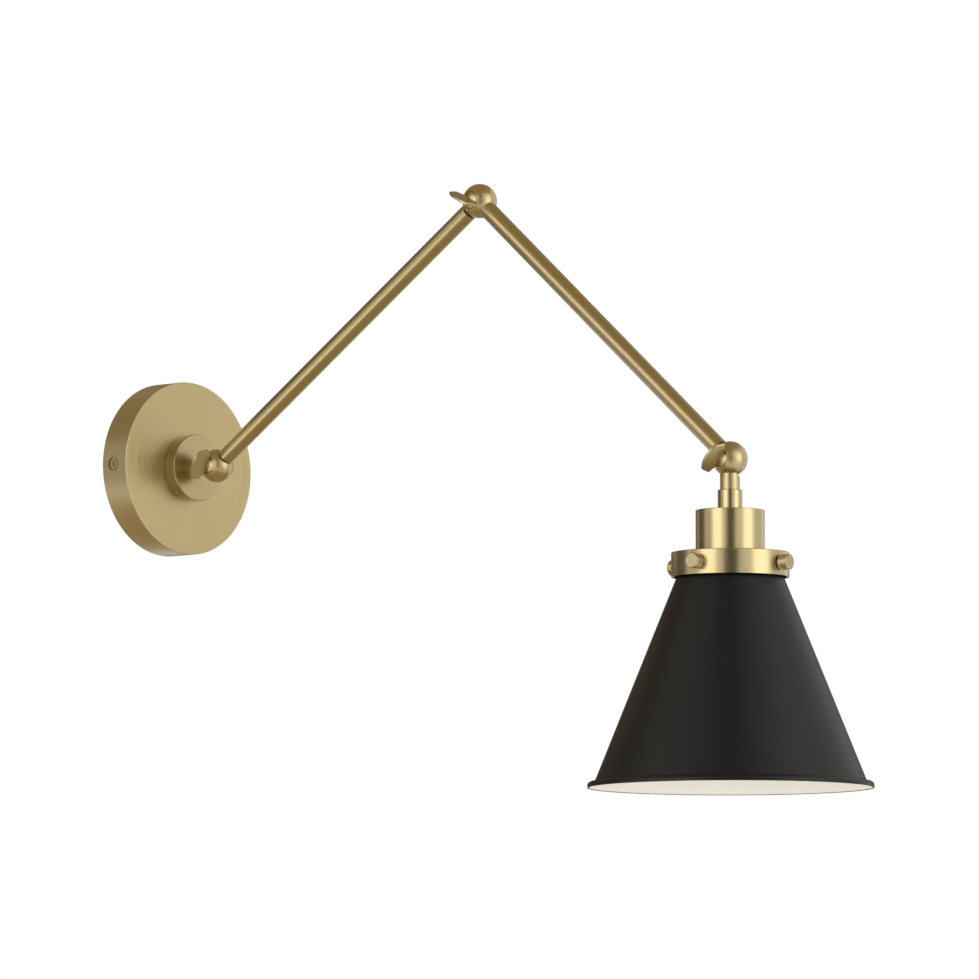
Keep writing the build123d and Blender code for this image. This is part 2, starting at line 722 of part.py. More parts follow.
# Thumbscrews: round heads outside the ring, shanks that reach under the shade's lip.
thumbscrew_tip = shade_neck_radius + press_gap
thumbscrew_seat = ring_diameter / 2 + press_gap
for number, plane in enumerate(thumbscrew_planes, start=1):
    with BuildPart() as thumbscrew:
        with BuildSketch(plane.offset(thumbscrew_seat)):
            Circle(thumbscrew_head_diameter / 2)
        extrude(amount=thumbscrew_head_length)
        head_edges = thumbscrew.edges().filter_by(GeomType.CIRCLE)
        chamfer(head_edges, thumbscrew_edge_break)
        with BuildSketch(plane.offset(thumbscrew_tip)):
            Circle(thumbscrew_shank_diameter / 2)
        extrude(amount=thumbscrew_seat - thumbscrew_tip)
    thumbscrew.part.label = f"thumbscrew_{number}"
    export_step(thumbscrew.part, f"parts/thumbscrew_{number}.step")

# ---------------------------------------------------------------- lampholder

holder_bottom = holder_top - holder_height
shell_top = holder_bottom + shell_depth + face_gap
shell_outer_radius = shell_bore / 2 + shell_wall
floor_top = shell_top + contact_height + holder_floor
cap_bottom = holder_top - holder_cap_wall

# Lampholder: a moulded body on the cup's nipple, with a wiring chamber over the bulb's well.
with BuildPart() as lampholder:
    with BuildSketch(head_section):
        Polygon(
            (0, cap_bottom),
            (nipple_radius + thread_gap, cap_bottom),
            (nipple_radius + thread_gap, holder_top),
            (holder_top_diameter / 2, holder_top),
            (holder_radius, holder_top - holder_shoulder),
            (holder_radius, holder_bottom),
            (shell_outer_radius + thread_gap, holder_bottom),
            (shell_outer_radius + thread_gap, shell_top + contact_height),
            (0, shell_top + contact_height),
            align=None,
        )
    revolve(axis=head_axis)
    with BuildSketch(Plane(origin=shade_ball).offset(floor_top)):
        Circle(holder_chamber_diameter / 2)
    extrude(amount=cap_bottom - floor_top, mode=Mode.SUBTRACT)
    for side in (-1, 1):
        terminal = shade_ball + Vector(side * holder_radius, 0, holder_top - terminal_drop)
        with BuildSketch(Plane(origin=terminal, z_dir=(-side, 0, 0))):
            Circle(terminal_screw_diameter / 2 + thread_gap)
        extrude(amount=terminal_screw_depth, mode=Mode.SUBTRACT)
lampholder.part.label = "lampholder"
export_step(lampholder.part, "parts/lampholder.step")

# Terminal screws: one each side of the body, in the space inside the cup.
with BuildPart() as terminal_screws:
    for side in (-1, 1):
        head_seat = shade_ball + Vector(side * (holder_radius + thread_gap), 0, holder_top - terminal_drop)
        with BuildSketch(Plane(origin=head_seat, z_dir=(side, 0, 0))):
            Circle(terminal_head_diameter / 2)
        extrude(amount=terminal_head_height)
        with BuildSketch(Plane(origin=head_seat, z_dir=(-side, 0, 0))):
            Circle(terminal_screw_diameter / 2)
        extrude(amount=terminal_screw_depth)
terminal_screws.part.label = "terminal_screws"
export_step(terminal_screws.part, "parts/terminal_screws.step")

# Screw shell: the brass thread for the bulb's cap, set in the body's well.
with BuildPart() as screw_shell:
    with BuildSketch(Plane(origin=shade_ball).offset(shell_top - shell_depth)):
        Circle(shell_outer_radius)
        Circle(shell_bore / 2, mode=Mode.SUBTRACT)
    extrude(amount=shell_depth)
screw_shell.part.label = "screw_shell"
export_step(screw_shell.part, "parts/screw_shell.step")

# Centre contact: a brass button at the top of the well.
with BuildPart() as centre_contact:
    with BuildSketch(Plane(origin=shade_ball).offset(shell_top)):
        Circle(contact_diameter / 2)
    extrude(amount=contact_height)
centre_contact.part.label = "centre_contact"
export_step(centre_contact.part, "parts/centre_contact.step")

# Lampholder ring: threaded on the body, it holds the fitter ring up against the cup.
clamp_top = ring_top - ring_top_wall
with BuildPart() as lampholder_ring:
    with BuildSketch(Plane(origin=shade_ball).offset(clamp_top - holder_ring_height)):
        Circle(holder_ring_diameter / 2)
        Circle(holder_radius + thread_gap, mode=Mode.SUBTRACT)
    extrude(amount=holder_ring_height)
lampholder_ring.part.label = "lampholder_ring"
export_step(lampholder_ring.part, "parts/lampholder_ring.step")

# ---------------------------------------------------------------- shade

cone_top = ring_top - shade_cone_start
cone_bottom = cone_top - shade_cone_height
cone_slope = (shade_mouth_radius - shade_neck_radius) / shade_cone_height
sheet_across = shade_sheet * sqrt(1 + cone_slope**2)
inner_cone_top = cone_top - (sheet_across - shade_sheet) / cone_slope
inner_mouth_radius = shade_mouth_radius - sheet_across + shade_sheet * cone_slope
rim_bottom = cone_bottom - shade_rim_roll - shade_rim_skirt
lip_bottom = thumbscrew_z + thumbscrew_shank_diameter / 2 + collar_gap

# Shade: spun steel, a lip that hangs on the thumbscrews, a short neck, a cone and a rolled rim.
with BuildPart() as shade:
    with BuildSketch(head_section) as shade_profile:
        Polygon(
            (shade_lip_radius, lip_bottom + shade_lip_height),
            (shade_lip_radius, lip_bottom),
            (shade_neck_radius, lip_bottom),
            (shade_neck_radius, cone_top),
            (shade_mouth_radius, cone_bottom),
            (shade_rim_radius, cone_bottom),
            (shade_rim_radius, rim_bottom),
            (shade_rim_radius - shade_sheet, rim_bottom),
            (shade_rim_radius - shade_sheet, cone_bottom - shade_sheet),
            (inner_mouth_radius, cone_bottom - shade_sheet),
            (shade_neck_radius - shade_sheet, inner_cone_top),
            (shade_neck_radius - shade_sheet, lip_bottom + shade_lip_height),
            align=None,
        )
        outer_corner = shade_profile.vertices().group_by(Axis.X)[-1].sort_by(Axis.Y)[-1]
        fillet(outer_corner, shade_rim_roll)
        inner_corner = shade_profile.vertices().group_by(Axis.X)[-2].sort_by(Axis.Y)[-1]
        fillet(inner_corner, shade_rim_roll - shade_sheet)
    revolve(axis=head_axis)
shade.part.label = "shade"
export_step(shade.part, "parts/shade.step")
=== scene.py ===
import json
from math import cos, pi, radians, sin

import bmesh
import bpy
from mathutils import Matrix, Vector


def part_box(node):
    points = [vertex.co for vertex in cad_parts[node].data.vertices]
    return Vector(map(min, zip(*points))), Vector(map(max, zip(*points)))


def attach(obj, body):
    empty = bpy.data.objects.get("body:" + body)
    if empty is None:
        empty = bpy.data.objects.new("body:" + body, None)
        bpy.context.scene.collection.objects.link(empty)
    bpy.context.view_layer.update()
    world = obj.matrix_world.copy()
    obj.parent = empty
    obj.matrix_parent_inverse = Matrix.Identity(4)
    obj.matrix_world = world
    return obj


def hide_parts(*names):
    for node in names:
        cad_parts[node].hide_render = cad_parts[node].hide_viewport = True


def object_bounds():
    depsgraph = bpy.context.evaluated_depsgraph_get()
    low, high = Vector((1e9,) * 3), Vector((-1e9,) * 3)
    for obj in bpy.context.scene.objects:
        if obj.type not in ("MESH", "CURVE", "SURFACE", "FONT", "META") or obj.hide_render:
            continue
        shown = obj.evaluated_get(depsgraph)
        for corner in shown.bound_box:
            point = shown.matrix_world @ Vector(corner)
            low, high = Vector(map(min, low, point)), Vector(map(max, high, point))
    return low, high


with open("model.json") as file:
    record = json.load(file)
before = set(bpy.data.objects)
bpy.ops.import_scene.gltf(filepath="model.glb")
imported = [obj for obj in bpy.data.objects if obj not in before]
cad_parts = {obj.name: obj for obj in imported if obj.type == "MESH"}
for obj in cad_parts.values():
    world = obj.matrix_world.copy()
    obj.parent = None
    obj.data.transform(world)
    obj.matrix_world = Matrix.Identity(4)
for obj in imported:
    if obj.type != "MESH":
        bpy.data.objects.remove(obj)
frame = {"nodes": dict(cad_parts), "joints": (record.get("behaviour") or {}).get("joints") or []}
cad_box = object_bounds()
nodes = frame["nodes"]


# ---------------------------------------------------------------- camera
# The camera stands to the lamp's left and a little below it, about six metres off with a long
# lens, so the arms keep almost the same scale from the wall plate to the shade.
AIM = Vector((0.0933, -0.2500, -0.0241))
CAMERA_DISTANCE = 5.8131
CAMERA_AZIMUTH = radians(-45.824)
CAMERA_ELEVATION = radians(-5.211)
SENSOR_WIDTH = 36.0
LENS = 288.42
CLIP_END = 100.0

towards_camera = Vector((
    sin(CAMERA_AZIMUTH) * cos(CAMERA_ELEVATION),
    -cos(CAMERA_AZIMUTH) * cos(CAMERA_ELEVATION),
    sin(CAMERA_ELEVATION),
))
camera_data = bpy.data.cameras.new("camera")
camera_data.sensor_width = SENSOR_WIDTH
camera_data.lens = LENS
camera_data.clip_end = CLIP_END
camera = bpy.data.objects.new("camera", camera_data)
camera.location = AIM + towards_camera * CAMERA_DISTANCE
camera.rotation_euler = towards_camera.to_track_quat("Z", "Y").to_euler()
bpy.context.scene.collection.objects.link(camera)
bpy.context.scene.camera = camera
bpy.context.scene.view_settings.view_transform = "Standard"


# ---------------------------------------------------------------- studio
# A white room: a pale floor well under the lamp, a white world and two soft boxes in front. Cards
# that show only as mirrored in the metal draw dark edges and bright stripes on the brass.
UPRIGHT = Vector((0.0, 0.0, 1.0))
WHITE = (1.0, 1.0, 1.0, 1.0)
FLOOR_DROP = 0.45
FLOOR_SIZE = 16.0
FLOOR_COLOUR = (0.86, 0.86, 0.86, 1.0)
FOLD_ANGLE = radians(32)
FRONT_CARD = (0.050, 0.042, 0.040, 1.0)
SIDE_CARD = (0.13, 0.12, 0.10, 1.0)
SLOT_CARD = (0.58, 0.52, 0.42, 1.0)
BACK_CARD = (0.20, 0.17, 0.13, 1.0)
RIGHT_CARD = (0.82, 0.80, 0.76, 1.0)
STRIPE_CARD = (2.0, 1.95, 1.85, 1.0)
UPPER_CARD = (0.38, 0.29, 0.17, 1.0)
LOWER_CARD = (0.42, 0.32, 0.18, 1.0)
UPPER_CARD_PLACE = AIM + Vector((-0.49, 0.70, 1.7))
LOWER_CARD_PLACE = AIM + Vector((0.11, 0.37, -0.6))
SHADE_HEAD = Vector((0.0, -0.58, 0.05))


def bmesh_object(name, mesh_edit, material):
    """Turns a finished bmesh into an object at the origin, with sharp edges only where faces fold."""
    for face in mesh_edit.faces:
        face.smooth = True
    for edge in mesh_edit.edges:
        edge.smooth = edge.calc_face_angle(0.0) < FOLD_ANGLE
    mesh = bpy.data.meshes.new(name)
    mesh_edit.to_mesh(mesh)
    mesh_edit.free()
    mesh.materials.append(material)
    made = bpy.data.objects.new(name, mesh)
    bpy.context.scene.collection.objects.link(made)
    return made


class Wire:
    """A shader socket that takes part in Python arithmetic; every operation adds its Math node."""

    def __init__(self, finish, socket):
        self.finish = finish
        self.socket = socket

    def __add__(self, other):
        return self.finish.maths("ADD", self, other)

    __radd__ = __add__

    def __sub__(self, other):
        return self.finish.maths("SUBTRACT", self, other)

    def __rsub__(self, other):
        return self.finish.maths("SUBTRACT", other, self)

    def __mul__(self, other):
        return self.finish.maths("MULTIPLY", self, other)

    __rmul__ = __mul__

    def __truediv__(self, other):
        return self.finish.maths("DIVIDE", self, other)

    def __pow__(self, other):
        return self.finish.maths("POWER", self, other)

    def __gt__(self, other):
        return self.finish.maths("GREATER_THAN", self, other)

    def __lt__(self, other):
        return self.finish.maths("LESS_THAN", self, other)


class Finish:
    """A node material under construction, with one method for every node it needs."""

    def __init__(self, name):
        self.material = bpy.data.materials.new(name)
        self.material.use_nodes = True
        self.tree = self.material.node_tree

    def node(self, kind, settings=None, inputs=None, output=0):
        """Adds a node, sets its settings and then its sockets, and gives one of its outputs."""
        made = self.tree.nodes.new(kind)
        for key, value in (settings or {}).items():
            setattr(made, key, value)
        for key, value in (inputs or {}).items():
            self.feed(made.inputs[key], value)
        return Wire(self, made.outputs[output])

    def maths(self, operation, first, second):
        return self.node("ShaderNodeMath", {"operation": operation}, {0: first, 1: second})

    def feed(self, socket, value):
        """Links a wire to a socket, or sets the socket to a plain value."""
        if isinstance(value, Wire):
            self.tree.links.new(value.socket, socket)
        else:
            socket.default_value = value

    def surface(self, shader_settings):
        """Sets the Principled shader's sockets by name."""
        shader = self.tree.nodes["Principled BSDF"]
        for key, value in shader_settings.items():
            self.feed(shader.inputs[key], value)

    def noise(self, vector, scale, detail=3.0, roughness=0.5):
        inputs = {"Vector": vector, "Scale": scale, "Detail": detail, "Roughness": roughness}
        return self.node("ShaderNodeTexNoise", {}, inputs)

    def mix(self, factor, first, second):
        """Mixes two colours; the node's colours go in at sockets 6 and 7 and come out at 2."""
        inputs = {0: factor, 6: first, 7: second}
        return self.node("ShaderNodeMix", {"data_type": "RGBA"}, inputs, output=2)

    def bump(self, height, distance):
        return self.node("ShaderNodeBump", {}, {"Height": height, "Distance": distance})

    def place(self, centre, axis, stretch=1.0):
        """Object coordinates centred on a piece, with Z along its axis, shortened by stretch."""
        inputs = {
            "Vector": self.node("ShaderNodeTexCoord", output="Object"),
            "Location": centre,
            "Rotation": Vector(axis).to_track_quat("Z", "Y").to_euler(),
            "Scale": (1.0, 1.0, stretch),
        }
        return self.node("ShaderNodeMapping", {"vector_type": "TEXTURE"}, inputs)

    def parts(self, vector):
        """The three numbers of a vector."""
        split = self.node("ShaderNodeSeparateXYZ", {}, {0: vector}).socket.node
        return [Wire(self, out) for out in split.outputs]

    def dress(self, *names):
        """Gives this finish to CAD nodes."""
        for name in names:
            nodes[name].material_slots[0].material = self.material


world = bpy.data.worlds.new("studio")
world.use_nodes = True
world.node_tree.nodes["Background"].inputs["Color"].default_value = WHITE
world.node_tree.nodes["Background"].inputs["Strength"].default_value = 1.0
bpy.context.scene.world = world

floor_height = cad_box[0].z - FLOOR_DROP
floor_edit = bmesh.new()
bmesh.ops.create_grid(floor_edit, x_segments=1, y_segments=1, size=FLOOR_SIZE / 2)
bmesh.ops.translate(floor_edit, verts=floor_edit.verts, vec=(0.0, AIM.y, floor_height))
floor_finish = Finish("pale_floor")
floor_finish.surface({"Base Color": FLOOR_COLOUR, "Roughness": 0.9, "Specular IOR Level": 0.1})
bmesh_object("floor", floor_edit, floor_finish.material)


def direction(azimuth, elevation):
    """A way out from the lamp; azimuth 0 is towards the camera, positive to the picture's right."""
    across = CAMERA_AZIMUTH + radians(azimuth)
    up = radians(elevation)
    return Vector((sin(across) * cos(up), -cos(across) * cos(up), sin(up)))


def soft_box(name, azimuth, elevation, distance, width, height, glow):
    """An area lamp that faces the wall lamp; its glow is how bright its face looks, 1 being white."""
    data = bpy.data.lights.new(name, "AREA")
    data.shape = "RECTANGLE"
    data.size = width
    data.size_y = height
    data.energy = glow * pi * width * height
    lamp = bpy.data.objects.new(name, data)
    way = direction(azimuth, elevation)
    lamp.location = AIM + way * distance
    lamp.rotation_euler = way.to_track_quat("Z", "Y").to_euler()
    bpy.context.scene.collection.objects.link(lamp)


soft_box("box_left", azimuth=-40.0, elevation=3.0, distance=3.0, width=1.7, height=2.6, glow=1.32)
soft_box("box_right", azimuth=58.0, elevation=3.0, distance=3.0, width=1.7, height=2.8, glow=1.38)


def card(name, centre, facing, width, height, colour):
    """A flat card, turned square to a direction, that shows only in mirrored light."""
    finish = Finish(name)
    glow = finish.node("ShaderNodeEmission", {}, {"Color": colour, "Strength": 1.0})
    finish.feed(finish.tree.nodes["Material Output"].inputs["Surface"], glow)
    edit = bmesh.new()
    bmesh.ops.create_grid(edit, x_segments=1, y_segments=1, size=0.5)
    turn = facing.to_track_quat("Z", "Y").to_matrix().to_4x4()
    place = Matrix.Translation(centre) @ turn @ Matrix.Diagonal((width, height, 1.0, 1.0))
    bmesh.ops.transform(edit, verts=edit.verts, matrix=place)
    made = bmesh_object(name, edit, finish.material)
    made.visible_camera = False
    made.visible_diffuse = False
    made.visible_shadow = False
    made.visible_transmission = False


def card_around(name, azimuth, elevation, distance, width, height, colour, centre=AIM):
    """A card that faces a point of the lamp, placed by degrees round it and metres from it."""
    way = direction(azimuth, elevation)
    card(name, centre + way * distance, way, width, height, colour)


card_around("card_front", 0.0, 0.0, 1.4, 0.68, 3.0, FRONT_CARD, centre=SHADE_HEAD)
card_around("card_side", -127.0, 0.0, 3.0, 4.4, 6.0, SIDE_CARD)
card_around("card_back", 176.0, 0.0, 3.0, 3.4, 6.0, BACK_CARD)
card_around("card_slot", -71.0, 4.0, 3.0, 1.15, 0.8, SLOT_CARD)
card_around("card_right", 108.0, 2.0, 3.0, 2.6, 2.0, RIGHT_CARD)
card_around("stripe_high", -71.0, 26.0, 3.2, 1.0, 1.3, STRIPE_CARD)
card_around("stripe_low", -69.0, -23.0, 1.2, 0.40, 0.42, STRIPE_CARD)
card("card_above", UPPER_CARD_PLACE, UPRIGHT, 4.0, 4.7, UPPER_CARD)
card("card_below", LOWER_CARD_PLACE, UPRIGHT, 2.4, 1.65, LOWER_CARD)


# ---------------------------------------------------------------- backplate
# The backplate is a deep cup of spun brass, turned on a lathe, brushed satin and lacquered over an
# aged tone. Its face carries faint rings from the lathe and a slow drift of colour.
BRASS_LIGHT = (0.50, 0.40, 0.185, 1.0)
BRASS_DARK = (0.43, 0.33, 0.14, 1.0)
BRASS_ROUGHNESS = 0.25
ROUGHNESS_SPREAD = 0.06
LINE_SCALE = 2400.0
LINE_STRETCH = 60.0
DRIFT_SCALE = 24.0
GRAIN_SCALE = 2600.0
WALL_CENTRE = (0.0, 0.0, 0.0)
WALL_AXIS = (0.0, 1.0, 0.0)


def satin_brass(name, centre, axis, rings=True, roughness=BRASS_ROUGHNESS, slope=0.04):
    """Aged satin brass, brushed in fine rings round an axis or in lines along it."""
    finish = Finish(name)
    spot = finish.place(centre, axis)
    if rings:
        across, up, along = finish.parts(spot)
        radius = (across * across + up * up) ** 0.5
        line_spot = finish.node("ShaderNodeCombineXYZ", {}, {0: radius, 2: along})
    else:
        line_spot = finish.place(centre, axis, stretch=LINE_STRETCH)
    lines = finish.noise(line_spot, LINE_SCALE, detail=0.0)
    drift = finish.noise(spot, DRIFT_SCALE, roughness=0.55)
    grain = finish.noise(spot, GRAIN_SCALE, detail=2.0)
    finish.surface({
        "Base Color": finish.mix(drift * 0.8 + lines * 0.3, BRASS_DARK, BRASS_LIGHT),
        "Metallic": 1.0,
        "Roughness": roughness - ROUGHNESS_SPREAD + drift * ROUGHNESS_SPREAD + grain * ROUGHNESS_SPREAD,
        "Coat Weight": 1.0,
        "Coat Roughness": 0.28,
        "Coat IOR": 1.6,
        "Normal": finish.bump(lines, slope / LINE_SCALE),
    })
    return finish


satin_brass("plate_brass", WALL_CENTRE, WALL_AXIS, roughness=0.34, slope=0.22).dress("backplate")


# ---------------------------------------------------------------- mounting bracket and screws
# A zinc-plated steel bar screwed to the wall box, with a green earthing screw. Two cross-recess
# screws hold the backplate to its tabs and sit sunk in the plate's sides.
ZINC = (0.60, 0.61, 0.62, 1.0)
ZINC_SHADE = (0.44, 0.45, 0.47, 1.0)
EARTH_GREEN = (0.05, 0.24, 0.08, 1.0)
EARTH_GREEN_DEEP = (0.03, 0.15, 0.05, 1.0)
SCREW_LIGHT = (0.54, 0.43, 0.22, 1.0)
SCREW_DARK = (0.36, 0.28, 0.14, 1.0)
TOOTH_SCALE = 1800.0
TOOTH_DEPTH = 0.00001


def plated(name, light, dark, roughness, crystal_scale):
    """Plated steel: crystal-like patches of two tones with a fine tooth."""
    finish = Finish(name)
    spot = finish.place(WALL_CENTRE, UPRIGHT)
    cells = {"Vector": spot, "Scale": crystal_scale}
    patch = finish.parts(finish.node("ShaderNodeTexVoronoi", {}, cells, output="Color"))[0]
    tooth = finish.noise(spot, TOOTH_SCALE, detail=2.0)
    finish.surface({
        "Base Color": finish.mix(patch * 0.6 + tooth * 0.3, dark, light),
        "Metallic": 1.0,
        "Roughness": roughness + patch * 0.08 + tooth * 0.05,
        "Normal": finish.bump(tooth, TOOTH_DEPTH),
    })
    return finish


zinc_plate = plated("zinc_plate", ZINC, ZINC_SHADE, roughness=0.32, crystal_scale=260.0)
zinc_plate.dress("mounting_bracket", "hub_lock_nut", "cup_lock_nut")
toothed_zinc = plated("toothed_zinc", ZINC, ZINC_SHADE, roughness=0.38, crystal_scale=700.0)
toothed_zinc.dress("tooth_washer")
earth_green = plated("earth_screw", EARTH_GREEN, EARTH_GREEN_DEEP, roughness=0.35, crystal_scale=900.0)
earth_green.dress("ground_screw")
screw_metal = plated("cover_screw_metal", SCREW_LIGHT, SCREW_DARK, roughness=0.34, crystal_scale=1200.0)
screw_metal.dress("cover_screws")


# ---------------------------------------------------------------- hub
# A turned brass disc on a nylon slip washer. A zinc-plated threaded nipple with a tooth washer and
# nut behind the plate lets it swivel.
NYLON = (0.78, 0.77, 0.72, 1.0)
NYLON_SHADE = (0.66, 0.65, 0.6, 1.0)
NYLON_TOOTH_SCALE = 900.0
NYLON_TOOTH_DEPTH = 0.00002
THREAD_PITCH = 0.00094
THREAD_DEPTH = 0.0003
STAIN_SCALE = 300.0

satin_brass("hub_brass", WALL_CENTRE, WALL_AXIS, slope=0.16).dress("hub_disc")

nylon = Finish("nylon")
nylon_tooth = nylon.noise(nylon.place(WALL_CENTRE, WALL_AXIS), NYLON_TOOTH_SCALE)
nylon.surface({
    "Base Color": nylon.mix(nylon_tooth, NYLON_SHADE, NYLON),
    "Roughness": 0.45 + nylon_tooth * 0.1,
    "Normal": nylon.bump(nylon_tooth, NYLON_TOOTH_DEPTH),
})
nylon.dress("slip_washer")


def threaded_zinc(name, centre, axis):
    """Zinc-plated pipe thread: shallow ridges at the thread's pitch along the axis, with painted shade
    darkening the thread's roots.
    """
    finish = Finish(name)
    spot = finish.place(centre, axis)
    along = finish.parts(spot)[2]
    ridge_and_root_shade = finish.maths("PINGPONG", along / THREAD_PITCH, 0.5)
    stain = finish.noise(spot, STAIN_SCALE)
    finish.surface({
        # Painted shade: the thread's wave colours its roots darker than its crests, on top of the
        # random stain.
        "Base Color": finish.mix(ridge_and_root_shade + stain * 0.4, ZINC_SHADE, ZINC),
        "Metallic": 1.0,
        "Roughness": 0.3 + stain * 0.12,
        "Normal": finish.bump(ridge_and_root_shade, THREAD_DEPTH),
    })
    return finish


threaded_zinc("hub_thread", WALL_CENTRE, WALL_AXIS).dress("hub_nipple")


# ---------------------------------------------------------------- knuckles and keys
# Each knuckle is a turned brass ball split across its middle. The inner half carries the thumb key's
# collar in a counterbore, the outer half takes its thread, and a fibre washer rubs between them.
FIBRE = (0.20, 0.055, 0.03, 1.0)
FIBRE_DARK = (0.11, 0.03, 0.02, 1.0)
FIBRE_SCALE = 1200.0
FLECK_DEPTH = 0.00003
HINGE_AXIS = (1.0, 0.0, 0.0)


def joint_place(name):
    """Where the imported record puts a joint."""
    return next(Vector(joint["pos_m"]) for joint in frame["joints"] if joint["name"] == name)


knuckle_centres = {
    "base": joint_place("base_tilt"),
    "elbow": joint_place("elbow_fold"),
    "shade": joint_place("shade_tilt"),
}

fibre = Finish("vulcanised_fibre")
fibre_fleck = fibre.noise(fibre.place(WALL_CENTRE, HINGE_AXIS), FIBRE_SCALE)
fibre.surface({
    "Base Color": fibre.mix(fibre_fleck, FIBRE_DARK, FIBRE),
    "Roughness": 0.6 + fibre_fleck * 0.15,
    "Normal": fibre.bump(fibre_fleck, FLECK_DEPTH),
})

for name, centre in knuckle_centres.items():
    ball = satin_brass(f"{name}_ball_brass", centre, HINGE_AXIS, roughness=0.36, slope=0.08)
    ball.dress(f"{name}_knuckle_inner", f"{name}_knuckle_outer")
    key = satin_brass(f"{name}_key_brass", centre, HINGE_AXIS, rings=False, roughness=0.33)
    key.dress(f"{name}_key")
    fibre.dress(f"{name}_friction_washer")


# ---------------------------------------------------------------- arms
# Two lengths of drawn half-inch brass tube, coped to the balls, each with a round black flex inside.
# Both are brushed in faint rings round their length.
FLEX_BLACK = (0.022, 0.022, 0.024, 1.0)
FLEX_GREY = (0.045, 0.045, 0.048, 1.0)
FLEX_SCALE = 900.0

for name, start, end in (("lower", "base", "elbow"), ("upper", "elbow", "shade")):
    way = (knuckle_centres[end] - knuckle_centres[start]).normalized()
    tube = satin_brass(f"{name}_tube_brass", knuckle_centres[start], way, roughness=0.33, slope=0.02)
    tube.dress(f"{name}_arm_tube")

flex = Finish("black_flex")
flex_fleck = flex.noise(flex.place(WALL_CENTRE, UPRIGHT), FLEX_SCALE)
flex.surface({
    "Base Color": flex.mix(flex_fleck, FLEX_BLACK, FLEX_GREY),
    "Roughness": 0.55 + flex_fleck * 0.1,
    "Normal": flex.bump(flex_fleck, FLECK_DEPTH),
})
flex.dress("lower_arm_flex", "upper_arm_flex")


# ---------------------------------------------------------------- stem, cup and fitter ring
# Turned brass sleeve, drawn brass cup and spun brass gallery under the third ball, all brushed
# round the lamp's upright axis. A zinc-plated nipple and nut hold them together inside.
shade_centre = knuckle_centres["shade"]

head_brass = satin_brass("head_brass", shade_centre, UPRIGHT, slope=0.1)
head_brass.dress("stem_collar", "socket_cup", "fitter_ring")
threaded_zinc("cup_thread", shade_centre, UPRIGHT).dress("cup_nipple")


# ---------------------------------------------------------------- thumbscrews
# Four brass thumbscrews stand out of the ring and carry the shade's lip on their shanks. Each round
# head is turned, with fine grooves round its side for grip and a flat end.
THUMBSCREW_COUNT = 4
THUMB_HEAD_RADIUS = 0.0055
THUMB_HEAD_LENGTH = 0.0081
THUMB_CHAMFER = 0.0006
THUMB_SHANK_RADIUS = 0.0020
THUMB_GROOVES = 5
THUMB_GROOVE_DEPTH = 0.00022
GROOVE_TOP_SHARE = 0.55
GROOVE_FLOOR_SHARE = 0.7
GROOVE_FLOOR_END_SHARE = 0.85
TURNED_STEPS = 48
MERGE_DISTANCE = 0.000002


def turned_solid(name, profile, centre, axis, material):
    """Spins a profile of (radius, height) points, both ends on the axis, into a closed solid."""
    edit = bmesh.new()
    points = [edit.verts.new((radius, 0.0, height)) for radius, height in profile]
    for first, second in zip(points, points[1:]):
        edit.edges.new((first, second))
    geometry = edit.verts[:] + edit.edges[:]
    bmesh.ops.spin(
        edit,
        geom=geometry,
        cent=(0, 0, 0),
        axis=(0, 0, 1),
        angle=2 * pi,
        steps=TURNED_STEPS,
        use_merge=True,
    )
    bmesh.ops.remove_doubles(edit, verts=edit.verts, dist=MERGE_DISTANCE)
    bmesh.ops.recalc_face_normals(edit, faces=edit.faces)
    turn = Vector(axis).to_track_quat("Z", "Y").to_matrix().to_4x4()
    bmesh.ops.transform(edit, verts=edit.verts, matrix=Matrix.Translation(centre) @ turn)
    return bmesh_object(name, edit, material)


def thumbscrew_profile(reach):
    """Shank tip at height 0, head seat at reach, and grooves along the head's side."""
    top = reach + THUMB_HEAD_LENGTH
    groove_radius = THUMB_HEAD_RADIUS - THUMB_GROOVE_DEPTH
    profile = [(0.0, 0.0), (THUMB_SHANK_RADIUS, 0.0), (THUMB_SHANK_RADIUS, reach)]
    profile.append((THUMB_HEAD_RADIUS - THUMB_CHAMFER, reach))
    profile.append((THUMB_HEAD_RADIUS, reach + THUMB_CHAMFER))
    land = (THUMB_HEAD_LENGTH - 2 * THUMB_CHAMFER) / THUMB_GROOVES
    for groove in range(THUMB_GROOVES):
        start = reach + THUMB_CHAMFER + groove * land
        profile.append((THUMB_HEAD_RADIUS, start + land * GROOVE_TOP_SHARE))
        profile.append((groove_radius, start + land * GROOVE_FLOOR_SHARE))
        profile.append((groove_radius, start + land * GROOVE_FLOOR_END_SHARE))
        profile.append((THUMB_HEAD_RADIUS, start + land))
    profile.append((THUMB_HEAD_RADIUS - THUMB_CHAMFER, top))
    profile.append((0.0, top))
    return profile


for number in range(1, THUMBSCREW_COUNT + 1):
    screw = f"thumbscrew_{number}"
    outward = next(Vector(joint["axis"]) for joint in frame["joints"] if joint["child"] == screw)
    screw_low, screw_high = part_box(screw)
    screw_height = (screw_low.z + screw_high.z) / 2
    screw_origin = Vector((shade_centre.x, shade_centre.y, screw_height))
    distances = [(v.co - screw_origin).dot(outward) for v in nodes[screw].data.vertices]
    tip = screw_origin + outward * min(distances)
    reach = max(distances) - min(distances) - THUMB_HEAD_LENGTH
    brass = satin_brass(f"{screw}_brass", tip, outward)
    piece = turned_solid(f"{screw}_turned", thumbscrew_profile(reach), tip, outward, brass.material)
    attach(piece, screw)
    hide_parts(screw)


